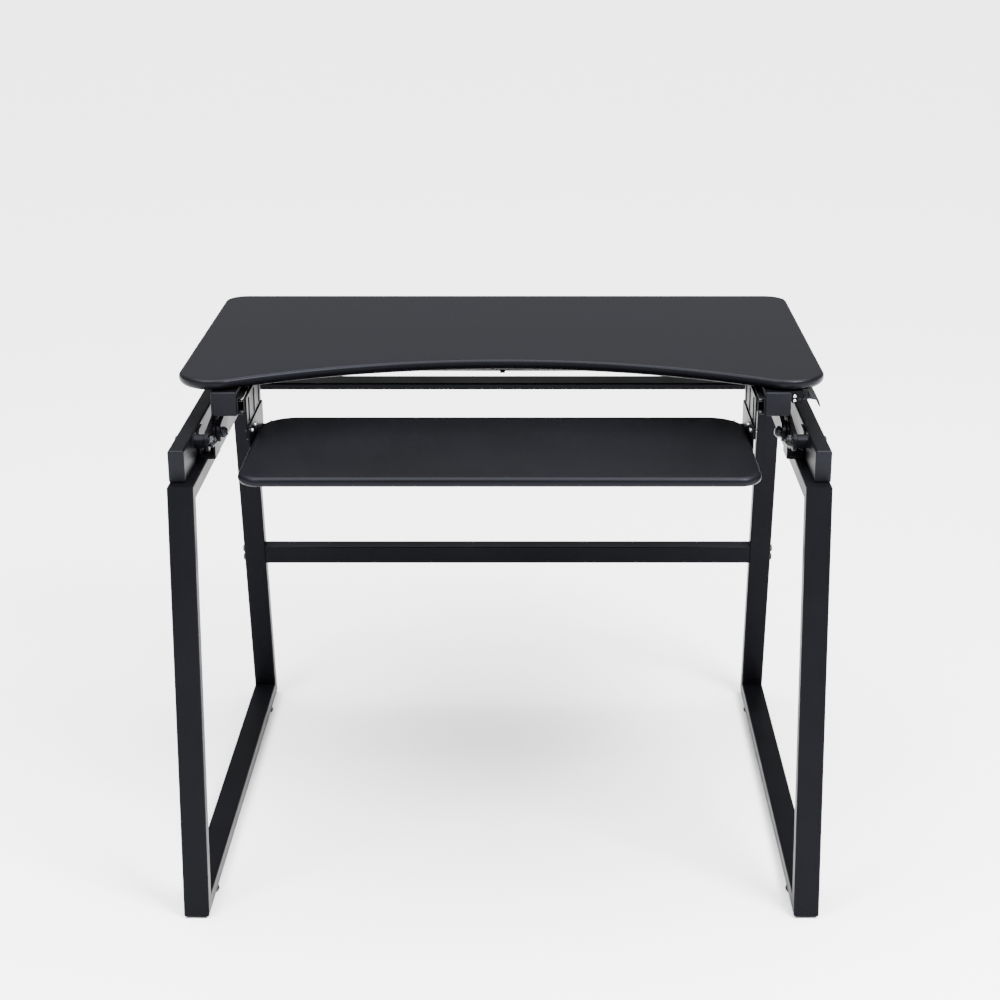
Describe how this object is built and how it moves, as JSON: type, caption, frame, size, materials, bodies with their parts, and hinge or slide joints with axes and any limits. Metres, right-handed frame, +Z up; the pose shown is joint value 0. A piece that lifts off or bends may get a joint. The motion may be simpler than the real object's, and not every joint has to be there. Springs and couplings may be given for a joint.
{
  "type": "computer desk with keyboard tray",
  "caption": "Height-adjustable computer desk: scooped desktop on parallel swing arms over a fixed trapezoid floor stand, with a sliding keyboard tray and a squeeze lever.",
  "frame": {"origin": "on the floor, at the middle of the lowered desk's bounding box, which is the middle of the foot rails", "axes": "+X to the sitter's right, +Y to the rear, +Z up"},
  "size_m": [1.016, 0.858, 0.817],
  "materials": {
    "black_powder_coat": "fine-textured black powder coat",
    "black_laminate": "black laminate on fibreboard, satin",
    "black_plastic": "moulded, matt",
    "black_plastic_paddle": "moulded, satin",
    "nylon": "natural nylon",
    "glide_rubber": "matt rubber",
    "bright_zinc": "bright zinc plate",
    "black_zinc": "black zinc plate",
    "hard_chrome": "polished hard chrome",
    "cable_sheath": "extruded, satin"
  },
  "bodies": {
    "stand": {"foot_glides": "glide_rubber", "rear_crossbar": "black_powder_coat", "crossbar_bolts": "black_zinc", "base_end_caps": "black_plastic", "base_cross_tube": "black_powder_coat", "base_bolts": "black_zinc", "rear_arm_brackets": "black_powder_coat", "bracket_screws": "black_zinc", "pivot_bosses": "black_powder_coat", "front_pivot_bolts": "black_zinc", "rear_pivot_studs": "black_zinc", "lower_pivot_nuts": "black_zinc", "front_leg_left": "black_powder_coat", "front_leg_right": "black_powder_coat", "rear_leg_left": "black_powder_coat", "rear_leg_right": "black_powder_coat", "foot_rail_left": "black_powder_coat", "foot_rail_right": "black_powder_coat", "head_rail_left": "black_powder_coat", "head_rail_right": "black_powder_coat", "base_rail_left": "black_powder_coat", "base_rail_right": "black_powder_coat"},
    "front_arms": {"front_arm_left": "black_powder_coat", "front_arm_right": "black_powder_coat", "front_arm_bushes": "nylon"},
    "rear_arms": {"rear_arm_left": "black_powder_coat", "rear_arm_right": "black_powder_coat", "rear_arm_bushes": "nylon", "torsion_shaft": "black_powder_coat", "spring_levers": "black_powder_coat", "spring_lever_pins": "bright_zinc"},
    "upper_frame": {"upper_channel_left": "black_powder_coat", "upper_channel_right": "black_powder_coat", "channel_end_caps": "black_plastic", "upper_cross_tubes": "black_powder_coat", "upper_pivot_studs": "black_zinc", "shaft_bearings": "nylon", "desktop": "black_laminate", "desktop_screws": "bright_zinc", "slide_outers": "black_zinc", "slide_screws": "bright_zinc", "spring_mounts": "black_powder_coat", "spring_mount_pins": "bright_zinc", "lever_bracket": "black_powder_coat", "lever_screws": "bright_zinc", "lever_pin": "black_zinc", "lever_return_spring": "bright_zinc", "release_cables": "cable_sheath", "cable_clips": "black_plastic"},
    "gas_cylinders": {"gas_cylinders": "black_powder_coat"},
    "gas_rods": {"gas_rods": "hard_chrome"},
    "tray": {"keyboard_tray": "black_laminate", "tray_brackets": "black_powder_coat", "tray_screws": "bright_zinc", "slide_hangers": "black_powder_coat", "hanger_screws": "bright_zinc", "slide_inners": "black_zinc"},
    "ball_cages": {"ball_cages": "nylon"},
    "release_lever": {"release_paddle": "black_plastic_paddle"}
  },
  "joints": [
    {"name": "lift", "type": "hinge", "parent": "stand", "child": "front_arms", "pos_m": [0, -0.237, 0.7275], "axis": [1, 0, 0], "range_deg": [0, 63.4]},
    {"name": "rear_arm_swing", "type": "hinge", "parent": "stand", "child": "rear_arms", "pos_m": [0, -0.187, 0.7275], "axis": [1, 0, 0], "range_deg": [0, 63.4]},
    {"name": "upper_level", "type": "hinge", "parent": "front_arms", "child": "upper_frame", "pos_m": [0, 0.22022, 0.77798], "axis": [1, 0, 0], "range_deg": [-63.4, 0]},
    {"name": "gas_cylinder_tilt", "type": "hinge", "parent": "upper_frame", "child": "gas_cylinders", "pos_m": [0, 0.01, 0.77498], "axis": [1, 0, 0], "range_deg": [0, 0.9634]},
    {"name": "gas_rod_slide", "type": "slide", "parent": "gas_cylinders", "child": "gas_rods", "axis": [0, 0.9922, -0.1246], "range_m": [0, 0.03759]},
    {"name": "tray_slide", "type": "slide", "parent": "upper_frame", "child": "tray", "axis": [0, 1, 0], "range_m": [0, 0.18]},
    {"name": "cage_slide", "type": "slide", "parent": "upper_frame", "child": "ball_cages", "axis": [0, 1, 0], "range_m": [0, 0.09]},
    {"name": "release_squeeze", "type": "hinge", "parent": "upper_frame", "child": "release_lever", "pos_m": [0.464, -0.16478, 0.78598], "axis": [0, -1, 0], "range_deg": [0, 12], "stiffness_Nm_per_rad": 0.5, "springref_deg": -22.92}
  ],
  "couplings": [
    {"joint": "rear_arm_swing", "follows": "lift", "ratio": 1},
    {"joint": "upper_level", "follows": "lift", "ratio": -1},
    {"joint": "gas_cylinder_tilt", "follows": "lift", "ratio": 0.015179},
    {"joint": "gas_rod_slide", "follows": "lift", "m_per_rad": 0.03396},
    {"joint": "cage_slide", "follows": "tray_slide", "ratio": 0.5}
  ]
}
